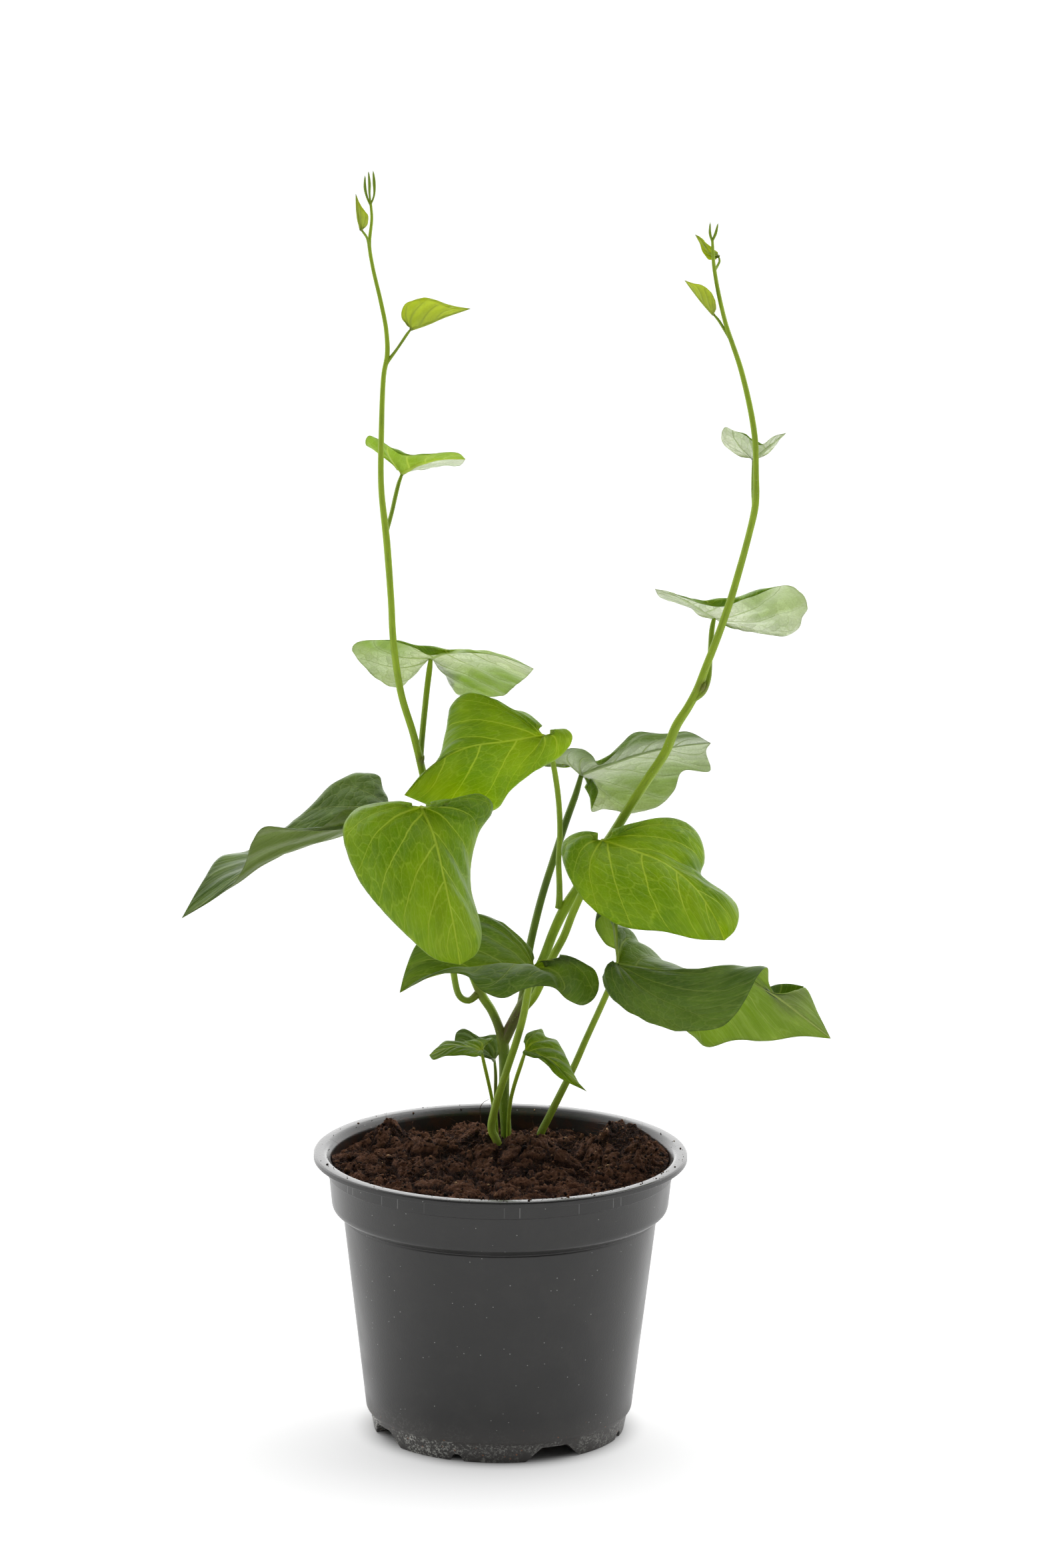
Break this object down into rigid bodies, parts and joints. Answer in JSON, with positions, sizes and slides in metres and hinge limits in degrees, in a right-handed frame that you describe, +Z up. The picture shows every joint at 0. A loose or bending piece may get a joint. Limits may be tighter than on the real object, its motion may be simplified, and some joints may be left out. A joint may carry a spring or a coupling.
{
  "type": "potted vine",
  "caption": "Sweet potato vine with heart-shaped leaves on two upright climbing stems, rooted in soil in a round tapered nursery pot with a rolled rim and a notched foot.",
  "frame": {"origin": "on the pot's axis at its foot, within 3 mm of the middle of the whole plant's width and depth", "axes": "+Z up along the pot's axis, -Y towards the front of the plant as pictured, +X to its right"},
  "size_m": [0.2948, 0.17, 0.579],
  "materials": {
    "pot_plastic": "satin black-grey thermoformed plastic, dusty at the foot",
    "soil": "coarse reddish-brown coir and peat, dry and rough",
    "vine": "smooth green stem, darker and purple-brown at the fork",
    "stalk": "smooth light green leaf stalk",
    "leaf": "satin green leaf, veined, pale underneath",
    "young_leaf": "satin yellow-green young leaf"
  },
  "bodies": {
    "root": {"pot": "pot_plastic", "soil": "soil", "vine_left": "vine", "vine_right": "vine", "stalk_low_centre": "stalk", "stalk_right_long": "stalk", "stalk_base_left": "stalk", "stalk_base_right": "stalk", "stalk_base_back": "stalk", "leaf_low_front": "leaf", "leaf_mid_upper": "leaf", "leaf_left_long": "leaf", "leaf_low_centre": "leaf", "leaf_right_front": "leaf", "leaf_right_long": "leaf", "leaf_right_back": "leaf", "leaf_left_wing": "leaf", "leaf_left_high": "leaf", "leaf_left_young": "young_leaf", "leaf_left_tip": "young_leaf", "leaf_right_wing": "leaf", "leaf_right_high": "leaf", "leaf_right_young": "young_leaf", "leaf_right_tip": "young_leaf", "leaf_base_left": "leaf", "leaf_base_right": "leaf", "leaf_base_back": "leaf"}
  },
  "joints": []
}
